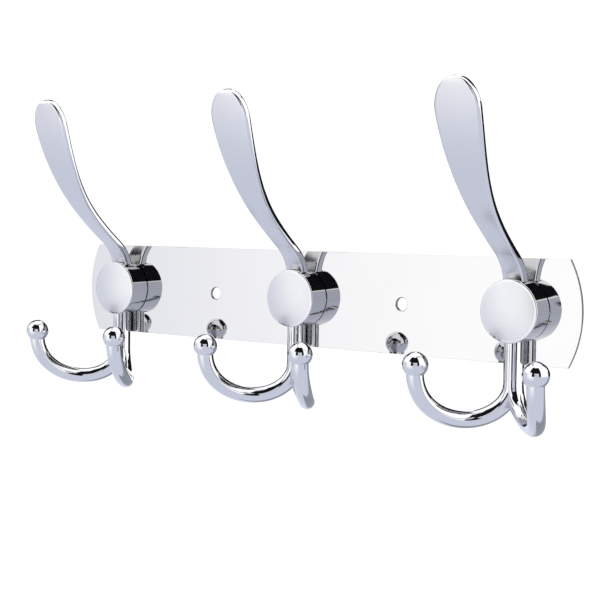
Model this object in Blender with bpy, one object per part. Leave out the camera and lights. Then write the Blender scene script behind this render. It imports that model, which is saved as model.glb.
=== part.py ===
"""Wall hook rack: a polished steel plate that carries three chromed hooks.

Each hook is four pieces: a round hub cover, an upper arm and a double prong whose
flat tongues are stacked inside the cover, and a countersunk screw that comes through
the plate from behind and clamps them all.

Frame: the origin is the centre of the plate's wall face, +X runs along the rack,
+Z is up and the rack faces -Y. The plate is drawn with its front at Y = 0 and a
hook's pieces round its hub axis. "Depth" is the distance in front of the plate.
"""

import math

import bmesh
import bpy
from mathutils import Vector

MM = 0.001

# Fits
GAP = 0.3 * MM                   # between pieces that touch
MERGE = 0.001 * MM               # corners closer than this are one

# Plate
PLATE_LENGTH = 250.0 * MM
PLATE_HEIGHT = 39.3 * MM
PLATE_THICKNESS = 1.2 * MM
PLATE_END_RISE = 5.1 * MM        # how far each bowed end stands out past its corners
PLATE_END_STEPS = 16
WALL_HOLE_SPACING = 96.2 * MM
WALL_HOLE_DIAMETER = 5.2 * MM

# Hooks along the plate
HOOK_SIDES = ("left", "middle", "right")
HUB_END_MARGIN = 24.5 * MM       # from each outer hub's axis to the plate's end
HUB_RISE = 0.4 * MM              # hub axis above the plate's middle line

# Hub cover
COVER_RADIUS = 11.7 * MM
COVER_DEPTH = 9.8 * MM           # plate to the rim of the domed face
COVER_DOME = 1.0 * MM
COVER_RIM_RADIUS = 0.5 * MM
COVER_SIDE_WALL = 1.8 * MM
COVER_FRONT_WALL = 1.2 * MM      # at the rim, the dome adds to it
COVER_BOSS_RADIUS = 4.2 * MM
COVER_PEG_RADIUS = 0.7 * MM
COVER_STEPS = 48
COVER_FACE_STEPS = 6
COVER_RIM_STEPS = 3
PEG_STEPS = 12
NOTCH_OVERRUN = 2.0 * MM         # cutters run this far past the wall that they cut

# Hub screw, countersunk at 90 degrees
SCREW_RADIUS = 2.0 * MM
SCREW_END_PLAY = 0.8 * MM        # from the screw's tip to the end of its bore
SCREW_HEAD_OVERHANG = 1.7 * MM   # head past the shank
SCREW_RECESS_SPAN = 4.0 * MM
SCREW_RECESS_WIDTH = 0.9 * MM
SCREW_RECESS_DEPTH = 1.1 * MM
SCREW_POINT = 0.5 * MM           # bevel at the tip
SCREW_STEPS = 24

# Tongues inside the cover
TONGUE_THICKNESS = 2.2 * MM
TONGUE_SIDE_PLAY = 2.9 * MM      # from a tongue's disc to the cover's side wall
TONGUE_BAR_WIDTH = 6.6 * MM
TONGUE_BORE_PLAY = 0.5 * MM      # round the screw
TONGUE_STEPS = 32

# Upper arm: a strap whose spine turns through these headings (distance along, degrees
# from straight forward to straight up) and takes these widths and thicknesses
ARM_LENGTH = 86.4 * MM
ARM_ROOT_WIDTH = 8.7 * MM
ARM_NECK_WIDTH = 8.0 * MM
ARM_BLADE_WIDTH = 17.8 * MM
ARM_TIP_LENGTH = 11.5 * MM       # length of the rounded end
ARM_ROOT_THICKNESS = 4.6 * MM
ARM_BLADE_THICKNESS = 3.3 * MM
ARM_SETBACK = 3.0 * MM           # from the cover's rim back to the front of the arm
ARM_LEAN_PLAY = 0.6 * MM         # notch in front of the arm, which leans forward in it
ARM_ROOT_SINK = 1.1 * MM         # where the spine starts, inside the cover's radius
ARM_HEADINGS = ((0.0, 78.6), (0.127, 36.2), (0.347, 42.3), (0.648, 63.5), (1.0, 79.8))
ARM_NECK_SHARE = 0.16            # of the length, where it is narrowest and full thin
ARM_FLARE_EVEN = 0.3             # share of the widening that is spread evenly
ARM_FLARE_POWER = 1.5            # how late the rest of it comes
ARM_TIP_ROUNDING = 0.6           # thinning of the end, in thicknesses from the tip
ARM_TIP_END = 0.998              # the last section, as a share of the length
ARM_ROOT_OVERLAP = 1.5 * MM      # how far the strap runs into its root block
ARM_STATIONS = 30
ARM_TIP_STEPS = 7
ARM_SPINE_STEPS = 240
ARM_SECTION_STEPS = 16
ARM_SECTION_POWER = 3.2          # squareness of the strap's section

# Double prong
STEM_HALF_WIDTH = 3.2 * MM       # of each of the two rods that make the stem
STEM_PLATE_PLAY = 0.7 * MM       # from the plate to the back of the stem
STEM_SPREAD = 0.45 * MM          # each rod's axis from the stem's middle
STEM_END_DROP = 26.9 * MM        # where the rods start to bend, below the hub axis
ROD_RADIUS = 3.2 * MM
ROD_LOWEST_DROP = 40.1 * MM      # rod axis at its lowest
ROD_RISE_DROP = 22.3 * MM        # where the rod points straight up again
ROD_LOWEST_SHARE = 0.44          # lowest point, as a share of the way out to the ball
BALL_RADIUS = 4.8 * MM
BALL_DROP = 19.3 * MM
BALL_SIDE = 24.2 * MM
BALL_DEPTH = 33.4 * MM
ROD_SWING_SIDE = 17.1 * MM       # seen from above, the rods swing out towards this
ROD_SWING_FORWARD = 9.9 * MM     # point before they turn forward to the balls
ROD_SECTION_STEPS = 14
ROD_DOWN_STEPS = 9
ROD_UP_STEPS = 11
BALL_RINGS = 9
BALL_FIRST_RING = 0.02           # past the neck, in ring spacings
BALL_POLE_SHARE = 0.06           # flat at the ball's top, as a share of its radius

SMOOTH_ANGLE = math.radians(35)


# ---------------------------------------------------------------- shared shapes

def clear_scene():
    for item in list(bpy.data.objects):
        bpy.data.objects.remove(item, do_unlink=True)


def finish(name, colour, roughness, metallic):
    material = bpy.data.materials.new(name)
    material.use_nodes = True
    shader = material.node_tree.nodes["Principled BSDF"]
    shader.inputs["Base Color"].default_value = (*colour, 1.0)
    shader.inputs["Roughness"].default_value = roughness
    shader.inputs["Metallic"].default_value = metallic
    return material


def mesh_from(bm):
    """The finished mesh, with its faces turned outwards."""
    bmesh.ops.recalc_face_normals(bm, faces=bm.faces)
    mesh = bpy.data.meshes.new("piece")
    bm.to_mesh(mesh)
    bm.free()
    return mesh


def marker(name, location, parent=None):
    """An empty that other pieces are placed from."""
    empty = bpy.data.objects.new(name, None)
    bpy.context.scene.collection.objects.link(empty)
    empty.parent = parent
    empty.location = location
    return empty


def place(name, mesh, material, parent):
    piece = bpy.data.objects.new(name, mesh)
    bpy.context.scene.collection.objects.link(piece)
    piece.parent = parent
    mesh.shade_smooth()
    mesh.set_sharp_from_angle(angle=SMOOTH_ANGLE)
    mesh.materials.clear()
    mesh.materials.append(material)
    return piece


def combined(base, cuts=(), joins=()):
    """The base mesh with other meshes cut away from it or joined to it."""
    made = []
    for mesh in (base, *cuts, *joins):
        piece = bpy.data.objects.new("raw", mesh)
        bpy.context.scene.collection.objects.link(piece)
        made.append(piece)
    whole = made[0]
    for number, tool in enumerate(made[1:]):
        step = whole.modifiers.new("Boolean", "BOOLEAN")
        step.operation = "DIFFERENCE" if number < len(cuts) else "UNION"
        step.solver = "EXACT"
        step.object = tool
    result = bpy.data.meshes.new_from_object(whole.evaluated_get(bpy.context.evaluated_depsgraph_get()))
    for piece in made:
        bpy.data.objects.remove(piece, do_unlink=True)
    return result


def turned(profile, steps):
    """A solid of revolution about the hub axis, from (radius, depth) points."""
    bm = bmesh.new()
    corners = [bm.verts.new((radius, -depth, 0.0)) for radius, depth in profile]
    edges = [bm.edges.new(pair) for pair in zip(corners, corners[1:])]
    bmesh.ops.spin(bm, geom=corners + edges, cent=(0, 0, 0), axis=(0, 1, 0),
                   angle=math.tau, steps=steps, use_merge=True)
    bmesh.ops.remove_doubles(bm, verts=bm.verts, dist=MERGE)
    return mesh_from(bm)


def block(low, high):
    """A box between two corners."""
    bm = bmesh.new()
    bmesh.ops.create_cube(bm, size=1.0)
    low, high = Vector(low), Vector(high)
    for corner in bm.verts:
        corner.co = (low + high) / 2 + Vector(a * b for a, b in zip(corner.co, high - low))
    return mesh_from(bm)


def round_bar(radius, near, far, x=0.0, z=0.0, steps=SCREW_STEPS, far_radius=None):
    """A cylinder or cone along Y between two depths."""
    bm = bmesh.new()
    ends = ((radius, near), (radius if far_radius is None else far_radius, far))
    loops = []
    for size, depth in ends:
        turns = [math.tau * step / steps for step in range(steps)]
        loops.append([bm.verts.new((x + size * math.cos(turn), -depth, z + size * math.sin(turn)))
                      for turn in turns])
    skin(bm, loops)
    return mesh_from(bm)


def skin(bm, loops):
    """Joins loops of vertices in order and closes both ends."""
    for lower, upper in zip(loops, loops[1:]):
        count = len(lower)
        for i in range(count):
            j = (i + 1) % count
            bm.faces.new((lower[i], lower[j], upper[j], upper[i]))
    bm.faces.new(loops[0])
    bm.faces.new(list(reversed(loops[-1])))


def swept(stations):
    """A solid through (centre, side vector, front vector, power, steps) sections."""
    bm = bmesh.new()
    loops = []
    for centre, side, front, power, steps in stations:
        loop = []
        for step in range(steps):
            turn = math.tau * (step + 0.5) / steps
            across, along = math.cos(turn), math.sin(turn)
            loop.append(bm.verts.new(
                centre
                + side * math.copysign(abs(across) ** (2 / power), across)
                + front * math.copysign(abs(along) ** (2 / power), along)))
        loops.append(loop)
    skin(bm, loops)
    return bm


def between(table, share):
    """Straight-line reading of a table of (share, value) pairs."""
    for (low, first), (high, second) in zip(table, table[1:]):
        if share <= high:
            return first + (second - first) * (share - low) / (high - low)
    return table[-1][1]


def eased(share):
    share = min(max(share, 0.0), 1.0)
    return share * share * (3 - 2 * share)


# ---------------------------------------------------------------- worked-out places

HOOK_PITCH = (PLATE_LENGTH - 2 * HUB_END_MARGIN) / (len(HOOK_SIDES) - 1)


def hook_places():
    middle = (len(HOOK_SIDES) - 1) / 2
    return {side: (number - middle) * HOOK_PITCH for number, side in enumerate(HOOK_SIDES)}


SCREW_HEAD_RADIUS = SCREW_RADIUS + SCREW_HEAD_OVERHANG
BORE_END_DEPTH = COVER_DEPTH + COVER_DOME - COVER_FRONT_WALL
SCREW_TIP_DEPTH = BORE_END_DEPTH - SCREW_END_PLAY
PRONG_TONGUE = (GAP, GAP + TONGUE_THICKNESS)
ARM_TONGUE = (PRONG_TONGUE[1] + GAP, PRONG_TONGUE[1] + GAP + TONGUE_THICKNESS)
BOSS_MOUTH = ARM_TONGUE[1] + GAP
COVER_INSIDE_RADIUS = COVER_RADIUS - COVER_SIDE_WALL
COVER_INSIDE_DEPTH = COVER_DEPTH - COVER_FRONT_WALL
COVER_PEG_OFFSET = COVER_RADIUS - COVER_PEG_RADIUS - GAP
ARM_ROOT_FRONT = COVER_DEPTH - ARM_SETBACK
ARM_ROOT_DEPTH = ARM_ROOT_FRONT - ARM_ROOT_THICKNESS / 2
ARM_ROOT_RISE = COVER_RADIUS - ARM_ROOT_SINK
STEM_FRONT = COVER_INSIDE_DEPTH - GAP
STEM_HALF_DEPTH = (STEM_FRONT - STEM_PLATE_PLAY) / 2
STEM_DEPTH = STEM_FRONT - STEM_HALF_DEPTH
STEM_WIDTH = 2 * (STEM_HALF_WIDTH + STEM_SPREAD)
TONGUE_RADIUS = COVER_INSIDE_RADIUS - TONGUE_SIDE_PLAY
TONGUE_BORE_RADIUS = SCREW_RADIUS + TONGUE_BORE_PLAY


# ---------------------------------------------------------------- plate

def seat_cone(x=0.0, z=0.0):
    """The space round a screw head, from behind the plate to where it meets the bore."""
    at_back = SCREW_HEAD_RADIUS + GAP * math.sqrt(2)
    height = at_back - SCREW_RADIUS
    return round_bar(at_back + MM, -PLATE_THICKNESS - MM, height - PLATE_THICKNESS, x=x, z=z,
                     far_radius=SCREW_RADIUS)


def plate_mesh():
    """A flat sheet with bowed ends, two wall holes, and a screw seat and two peg
    holes behind each hub."""
    half_height = PLATE_HEIGHT / 2
    bow_radius = (half_height ** 2 + PLATE_END_RISE ** 2) / (2 * PLATE_END_RISE)
    bow_angle = math.asin(half_height / bow_radius)
    bow_centre = PLATE_LENGTH / 2 - bow_radius
    turns = [bow_angle * (2 * step / PLATE_END_STEPS - 1) for step in range(PLATE_END_STEPS + 1)]
    right_end = [(bow_centre + bow_radius * math.cos(turn), bow_radius * math.sin(turn)) for turn in turns]
    outline = right_end + [(-x, -z) for x, z in right_end]
    bm = bmesh.new()
    skin(bm, [[bm.verts.new((x, y, z)) for x, z in outline] for y in (PLATE_THICKNESS, 0.0)])
    cuts = []
    for side in (-1, 1):
        cuts.append(round_bar(WALL_HOLE_DIAMETER / 2, -PLATE_THICKNESS - MM, MM,
                              x=side * WALL_HOLE_SPACING / 2))
    for x in hook_places().values():
        cuts.append(seat_cone(x, HUB_RISE))
        for side in (-1, 1):
            cuts.append(round_bar(COVER_PEG_RADIUS + GAP, -PLATE_THICKNESS - MM, MM,
                                  x=x + side * COVER_PEG_OFFSET, z=HUB_RISE, steps=PEG_STEPS))
    return combined(mesh_from(bm), cuts=cuts)


# ---------------------------------------------------------------- hub cover and screw

def cover_mesh():
    """A cup with a domed face, a threaded boss inside, a notch at the top for the arm
    and one at the bottom for the stem, and two pegs that keep it from turning."""
    dome_edge = COVER_RADIUS - COVER_RIM_RADIUS
    dome_radius = (dome_edge ** 2 + COVER_DOME ** 2) / (2 * COVER_DOME)
    dome_angle = math.asin(dome_edge / dome_radius)
    face = []
    for step in range(COVER_FACE_STEPS + 1):
        turn = dome_angle * step / COVER_FACE_STEPS
        face.append((dome_radius * math.sin(turn),
                     COVER_DEPTH + COVER_DOME - dome_radius * (1 - math.cos(turn))))
    rim = []
    for step in range(1, COVER_RIM_STEPS + 1):
        turn = math.pi / 2 * step / COVER_RIM_STEPS
        rim.append((dome_edge + COVER_RIM_RADIUS * math.sin(turn),
                    COVER_DEPTH - COVER_RIM_RADIUS * (1 - math.cos(turn))))
    bore = SCREW_RADIUS + GAP
    inside = [(COVER_RADIUS, GAP), (COVER_INSIDE_RADIUS, GAP), (COVER_INSIDE_RADIUS, COVER_INSIDE_DEPTH),
              (COVER_BOSS_RADIUS, COVER_INSIDE_DEPTH), (COVER_BOSS_RADIUS, BOSS_MOUTH), (bore, BOSS_MOUTH),
              (bore, BORE_END_DEPTH), (0.0, BORE_END_DEPTH)]
    cup = turned(face + rim + inside, COVER_STEPS)
    arm_half = ARM_ROOT_WIDTH / 2 + GAP
    stem_half = STEM_WIDTH / 2 + GAP
    inner, outer = COVER_INSIDE_RADIUS - NOTCH_OVERRUN, COVER_RADIUS + NOTCH_OVERRUN
    arm_notch = block((-arm_half, -(ARM_ROOT_FRONT + ARM_LEAN_PLAY), inner), (arm_half, MM, outer))
    stem_notch = block((-stem_half, -(STEM_FRONT + GAP), -outer), (stem_half, MM, -inner))
    pegs = [round_bar(COVER_PEG_RADIUS, GAP - PLATE_THICKNESS, MM, x=side * COVER_PEG_OFFSET,
                      steps=PEG_STEPS) for side in (-1, 1)]
    return combined(cup, cuts=[arm_notch, stem_notch], joins=pegs)


def screw_mesh():
    """A countersunk screw whose head lies flush in the plate's back."""
    seat_depth = SCREW_HEAD_RADIUS - SCREW_RADIUS - PLATE_THICKNESS
    profile = [(0.0, -PLATE_THICKNESS), (SCREW_HEAD_RADIUS, -PLATE_THICKNESS),
               (SCREW_RADIUS, seat_depth), (SCREW_RADIUS, SCREW_TIP_DEPTH - SCREW_POINT),
               (SCREW_RADIUS - SCREW_POINT, SCREW_TIP_DEPTH), (0.0, SCREW_TIP_DEPTH)]
    body = turned(profile, SCREW_STEPS)
    long, short = SCREW_RECESS_SPAN / 2, SCREW_RECESS_WIDTH / 2
    floor = PLATE_THICKNESS - SCREW_RECESS_DEPTH
    slots = [block((-long, floor, -short), (long, PLATE_THICKNESS + MM, short)),
             block((-short, floor, -long), (short, PLATE_THICKNESS + MM, long))]
    return combined(body, cuts=slots)


def tongue_pieces(depths, reach):
    """The flat disc round the screw, the bar that leads from it out to the hook, and
    the cutter for the screw's clearance hole."""
    near, far = depths
    disc = round_bar(TONGUE_RADIUS, near, far, steps=TONGUE_STEPS)
    half = TONGUE_BAR_WIDTH / 2
    bar = block((-half, -far, min(0.0, reach)), (half, -near, max(0.0, reach)))
    bore = round_bar(TONGUE_BORE_RADIUS, near - MM, far + MM)
    return disc, bar, bore


# ---------------------------------------------------------------- upper arm

def arm_width(share):
    """Narrowest just above the hub, widest where the rounded end begins."""
    shoulder = 1 - ARM_TIP_LENGTH / ARM_LENGTH
    if share < ARM_NECK_SHARE:
        return ARM_ROOT_WIDTH + (ARM_NECK_WIDTH - ARM_ROOT_WIDTH) * eased(share / ARM_NECK_SHARE)
    swell = min((share - ARM_NECK_SHARE) / (shoulder - ARM_NECK_SHARE), 1.0)
    flare = ARM_FLARE_EVEN * swell + (1 - ARM_FLARE_EVEN) * eased(swell) ** ARM_FLARE_POWER
    width = ARM_NECK_WIDTH + (ARM_BLADE_WIDTH - ARM_NECK_WIDTH) * flare
    past = max((share - shoulder) / (1 - shoulder), 0.0)
    return width * math.sqrt(max(1 - past ** 2, 0.0))


def arm_spine():
    """Points of the strap's middle line, each with its unit direction."""
    step = ARM_LENGTH / ARM_SPINE_STEPS
    at = Vector((0.0, -ARM_ROOT_DEPTH, ARM_ROOT_RISE))
    points = []
    for number in range(ARM_SPINE_STEPS + 1):
        heading = math.radians(between(ARM_HEADINGS, number / ARM_SPINE_STEPS))
        ahead = Vector((0.0, -math.cos(heading), math.sin(heading)))
        points.append((at.copy(), ahead))
        at = at + ahead * step
    return points


def arm_mesh():
    """The curved strap with its rounded blade, the block that fills the cover's top
    notch, and the tongue under the screw."""
    spine = arm_spine()
    last = len(spine) - 1
    shares = [number / ARM_STATIONS for number in range(ARM_STATIONS)]
    tip_start = 1 - ARM_TIP_LENGTH / ARM_LENGTH
    shares = [share for share in shares if share < tip_start]
    shares += [tip_start + (1 - tip_start) * math.sin(math.pi / 2 * step / ARM_TIP_STEPS)
               for step in range(ARM_TIP_STEPS)]
    shares.append(ARM_TIP_END)
    thicknesses = ((0.0, ARM_ROOT_THICKNESS), (ARM_NECK_SHARE, ARM_BLADE_THICKNESS),
                   (1.0, ARM_BLADE_THICKNESS))
    stations = []
    for share in shares:
        centre, ahead = spine[round(share * last)]
        to_tip = min((1 - share) * ARM_LENGTH / (ARM_TIP_ROUNDING * ARM_BLADE_THICKNESS), 1.0)
        thickness = between(thicknesses, share) * math.sqrt(1 - (1 - to_tip) ** 2)
        front = Vector((0.0, -ahead.z, ahead.y))
        stations.append((centre, Vector((arm_width(share) / 2, 0, 0)), front * thickness / 2,
                         ARM_SECTION_POWER, ARM_SECTION_STEPS))
    root_centre, root_side, root_front, power, steps = stations[0]
    sunk = root_centre - Vector((0.0, 0.0, ARM_ROOT_OVERLAP))
    strap = mesh_from(swept([(sunk, root_side, root_front, power, steps)] + stations))
    root_top = math.sqrt(COVER_RADIUS ** 2 - (ARM_ROOT_WIDTH / 2) ** 2)
    root = block((-ARM_ROOT_WIDTH / 2, -ARM_ROOT_FRONT, COVER_INSIDE_RADIUS - MM),
                 (ARM_ROOT_WIDTH / 2, -GAP, root_top))
    disc, bar, bore = tongue_pieces(ARM_TONGUE, COVER_INSIDE_RADIUS)
    return combined(combined(disc, joins=[bar, root, strap]), cuts=[bore])


# ---------------------------------------------------------------- double prong

def rod_plan(share):
    """Where a rod is seen from above, at a share of the way out to its ball."""
    swing, out = 2 * share * (1 - share), share * share
    side = swing * ROD_SWING_SIDE + out * BALL_SIDE + (1 - share) * STEM_SPREAD
    forward = swing * ROD_SWING_FORWARD + out * (BALL_DEPTH - STEM_DEPTH)
    return side, -(STEM_DEPTH + forward)


def rod_path():
    """Points down the stem, round the bend and up to the ball, each with how much of
    the stem's section it keeps: two quarter ellipses that meet at the lowest point."""
    path = [(Vector((STEM_SPREAD, -STEM_DEPTH, -drop)), 1.0)
            for drop in (COVER_INSIDE_RADIUS - MM, COVER_RADIUS + MM)]
    for step in range(ROD_DOWN_STEPS):
        turn = math.pi / 2 * step / ROD_DOWN_STEPS
        share = ROD_LOWEST_SHARE * (1 - math.cos(turn))
        drop = STEM_END_DROP + (ROD_LOWEST_DROP - STEM_END_DROP) * math.sin(turn)
        path.append((Vector((*rod_plan(share), -drop)), 1 - eased(step / ROD_DOWN_STEPS)))
    for step in range(ROD_UP_STEPS):
        turn = math.pi / 2 * step / ROD_UP_STEPS
        share = ROD_LOWEST_SHARE + (1 - ROD_LOWEST_SHARE) * math.sin(turn)
        drop = ROD_RISE_DROP + (ROD_LOWEST_DROP - ROD_RISE_DROP) * math.cos(turn)
        path.append((Vector((*rod_plan(share), -drop)), 0.0))
    return path


def rod_and_ball():
    """One rod with its ball, from inside the hub out to the ball's top."""
    path = rod_path()
    points = [point for point, _ in path]
    stations = []
    side = Vector((1, 0, 0))
    for number, (point, in_stem) in enumerate(path):
        after, before = points[min(number + 1, len(points) - 1)], points[max(number - 1, 0)]
        ahead = (after - before).normalized()
        side = (side - ahead * side.dot(ahead)).normalized()
        front = ahead.cross(side)
        half_width = ROD_RADIUS + (STEM_HALF_WIDTH - ROD_RADIUS) * in_stem
        half_depth = ROD_RADIUS + (STEM_HALF_DEPTH - ROD_RADIUS) * in_stem
        stations.append((point, side * half_width, front * half_depth, 2, ROD_SECTION_STEPS))
    side = Vector((side.x, side.y, 0)).normalized()
    front = Vector((0, 0, 1)).cross(side)
    neck = math.asin(ROD_RADIUS / BALL_RADIUS)
    for ring in range(BALL_RINGS):
        turn = neck + (math.pi - neck) * (ring + BALL_FIRST_RING) / BALL_RINGS
        radius = BALL_RADIUS * math.sin(turn)
        centre = Vector((BALL_SIDE, -BALL_DEPTH, -BALL_DROP - BALL_RADIUS * math.cos(turn)))
        stations.append((centre, side * radius, front * radius, 2, ROD_SECTION_STEPS))
    top = Vector((BALL_SIDE, -BALL_DEPTH, BALL_RADIUS - BALL_DROP))
    pole = BALL_POLE_SHARE * BALL_RADIUS
    stations.append((top, side * pole, front * pole, 2, ROD_SECTION_STEPS))
    return swept(stations)


def prong_mesh():
    """Two round rods that leave one stem, each bent up to a ball, and the tongue
    under the screw."""
    bm = rod_and_ball()
    bmesh.ops.bisect_plane(bm, geom=bm.verts[:] + bm.edges[:] + bm.faces[:], dist=MERGE,
                           plane_co=(0, 0, 0), plane_no=(1, 0, 0), clear_inner=True)
    twin = bmesh.ops.duplicate(bm, geom=bm.verts[:] + bm.edges[:] + bm.faces[:])["geom"]
    for item in twin:
        if isinstance(item, bmesh.types.BMVert):
            item.co.x = -item.co.x
    bmesh.ops.remove_doubles(bm, verts=bm.verts, dist=MERGE)
    disc, bar, bore = tongue_pieces(PRONG_TONGUE, -COVER_INSIDE_RADIUS)
    return combined(combined(disc, joins=[bar, mesh_from(bm)]), cuts=[bore, seat_cone()])


# ---------------------------------------------------------------- assembly

def build():
    clear_scene()
    steel = finish("plate_steel", (0.585, 0.583, 0.58), 0.05, 1.0)
    chrome = (0.59, 0.59, 0.60)
    finishes = {
        "hub_cover": finish("cover_chrome", chrome, 0.08, 1.0),
        "upper_arm": finish("arm_chrome", chrome, 0.08, 1.0),
        "double_prong": finish("prong_chrome", chrome, 0.06, 1.0),
        "hub_screw": finish("screw_zinc", (0.62, 0.64, 0.67), 0.25, 1.0),
    }
    shapes = {
        "hub_cover": cover_mesh(),
        "upper_arm": arm_mesh(),
        "double_prong": prong_mesh(),
        "hub_screw": screw_mesh(),
    }
    plate_front = marker("plate_front", (0.0, -PLATE_THICKNESS, 0.0))
    place("back_plate", plate_mesh(), steel, plate_front)
    for side, x in hook_places().items():
        hub = marker(f"hub_axis_{side}", (x, 0.0, HUB_RISE), plate_front)
        for kind, shape in shapes.items():
            place(f"{kind}_{side}", shape.copy(), finishes[kind], hub)


build()
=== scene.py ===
"""Wall hook rack: polished pieces and the studio round them."""

import math

import bmesh
import bpy
from mathutils import Matrix, Vector


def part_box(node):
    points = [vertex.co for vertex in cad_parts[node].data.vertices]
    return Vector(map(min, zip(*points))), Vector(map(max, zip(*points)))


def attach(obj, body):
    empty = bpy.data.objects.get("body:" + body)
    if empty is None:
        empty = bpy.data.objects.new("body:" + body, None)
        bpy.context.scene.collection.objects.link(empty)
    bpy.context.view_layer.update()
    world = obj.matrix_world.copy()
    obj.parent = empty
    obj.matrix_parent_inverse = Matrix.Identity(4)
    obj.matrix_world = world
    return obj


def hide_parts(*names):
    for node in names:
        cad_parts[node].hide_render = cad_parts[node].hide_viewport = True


bl_info = {
    "name": "Wall Hook Rack",
    "version": (1, 0, 0),
    "blender": (4, 5, 0),
    "location": "View3D > Sidebar > Hook Rack",
    "description": "Models a polished plate with three chromed coat hooks in a small studio",
    "category": "Object",
}

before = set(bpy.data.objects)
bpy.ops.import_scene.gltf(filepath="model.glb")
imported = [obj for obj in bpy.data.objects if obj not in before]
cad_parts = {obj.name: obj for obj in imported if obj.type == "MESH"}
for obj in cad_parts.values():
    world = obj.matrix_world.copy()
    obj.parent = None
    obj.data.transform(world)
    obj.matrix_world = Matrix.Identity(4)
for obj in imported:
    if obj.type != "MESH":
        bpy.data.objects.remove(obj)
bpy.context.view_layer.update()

MM = 0.001
SIDES = ("left", "middle", "right")
GAP = 0.3 * MM
MERGE = 0.002 * MM
NEAR = 1e-7
TINY = 1e-9
ROUND_STEPS = 64
BORE_STEPS = 48
PEG_STEPS = 24


# ------------------------------------------------------------ places read from the frame

def centre_of(node):
    low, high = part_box(node)
    return (low + high) / 2


PLATE_LOW, PLATE_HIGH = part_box("back_plate")
PLATE_FRONT = PLATE_LOW.y
COVER_LOW, COVER_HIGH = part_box("hub_cover_middle")
COVER_RADIUS = (COVER_HIGH.x - COVER_LOW.x) / 2
HUB_HEIGHT = centre_of("hub_cover_middle").z
HUB_X = {side: centre_of(f"hub_cover_{side}").x for side in SIDES}
SCREW_LOW, SCREW_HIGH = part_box("hub_screw_middle")


# ------------------------------------------------------------ modelling by operators

def leave_edit():
    if bpy.context.object and bpy.context.object.mode != "OBJECT":
        bpy.ops.object.mode_set(mode="OBJECT")


def select_only(*pieces):
    leave_edit()
    bpy.ops.object.select_all(action="DESELECT")
    for piece in pieces:
        piece.select_set(True)
    bpy.context.view_layer.objects.active = pieces[0] if pieces else None


def edit(piece, parts="VERT"):
    """Edit mode on one piece with nothing selected."""
    select_only(piece)
    bpy.ops.object.mode_set(mode="EDIT")
    bpy.ops.mesh.select_mode(type=parts)
    bpy.ops.mesh.select_all(action="DESELECT")


def pick(kind, test):
    """Selects the vertices, edges or faces that pass a test."""
    mesh = bpy.context.object.data
    bm = bmesh.from_edit_mesh(mesh)
    for part in getattr(bm, kind):
        if test(part):
            part.select_set(True)
    bm.select_flush_mode()
    bmesh.update_edit_mesh(mesh)


def settle(piece):
    """Puts the place of a finished object in its mesh."""
    select_only(piece)
    bpy.ops.object.transform_apply(location=True, rotation=True, scale=True)
    return piece


def apply_modifiers(piece):
    select_only(piece)
    for modifier in list(piece.modifiers):
        bpy.ops.object.modifier_apply(modifier=modifier.name)


def outward(piece):
    """Merges doubles and turns every face outwards."""
    edit(piece)
    bpy.ops.mesh.select_all(action="SELECT")
    bpy.ops.mesh.remove_doubles(threshold=MERGE)
    bpy.ops.mesh.normals_make_consistent(inside=False)
    leave_edit()


def combine(base, tools, operation):
    """Cuts tools from the base or joins them to it, and removes them."""
    for tool in tools:
        outward(tool)
        step = base.modifiers.new("Boolean", "BOOLEAN")
        step.operation = operation
        step.solver = "EXACT"
        step.object = tool
    apply_modifiers(base)
    for tool in tools:
        bpy.data.objects.remove(tool, do_unlink=True)
    return base


def shade(piece, angle=35):
    select_only(piece)
    bpy.ops.object.shade_smooth_by_angle(angle=math.radians(angle))
    return piece


def box(low, high):
    """A cube primitive stretched between two corners."""
    low, high = Vector(low), Vector(high)
    select_only()
    bpy.ops.mesh.primitive_cube_add(size=1, location=(low + high) / 2)
    piece = bpy.context.object
    piece.scale = high - low
    return settle(piece)


def disc_ring(radius, steps, y):
    """A flat round face that looks along the hub axis, in edit mode, all selected."""
    select_only()
    bpy.ops.mesh.primitive_circle_add(vertices=steps, radius=radius, fill_type="NGON",
                                      location=(0, y, 0), rotation=(math.pi / 2, 0, 0))
    piece = settle(bpy.context.object)
    edit(piece)
    bpy.ops.mesh.select_all(action="SELECT")
    return piece


def draw_out(way):
    bpy.ops.mesh.extrude_region_move(TRANSFORM_OT_translate={"value": tuple(way)})


def turned(profile, steps):
    """A solid of revolution about the hub axis. The profile's (radius, depth) points start
    and end on the axis, and depth counts forward from the front of the plate."""
    radius, depth = profile[1]
    piece = disc_ring(radius, steps, -depth)
    for next_radius, next_depth in profile[2:-1]:
        draw_out((0, depth - next_depth, 0))
        share = next_radius / radius
        bpy.ops.transform.resize(value=(share, 1, share), center_override=(0, -next_depth, 0))
        radius, depth = next_radius, next_depth
    end_depth = profile[-1][1]
    if abs(end_depth - depth) > TINY:
        draw_out((0, depth - end_depth, 0))
        bpy.ops.mesh.merge(type="CENTER")
    first_depth = profile[0][1]
    leave_edit()
    if abs(first_depth - profile[1][1]) > TINY:
        edit(piece)
        first = profile[1]
        pick("verts", lambda v: abs(v.co.y + first[1]) < NEAR
             and abs(math.hypot(v.co.x, v.co.z) - first[0]) < NEAR)
        draw_out((0, first[1] - first_depth, 0))
        bpy.ops.mesh.merge(type="CENTER")
        leave_edit()
    outward(piece)
    return piece


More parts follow.
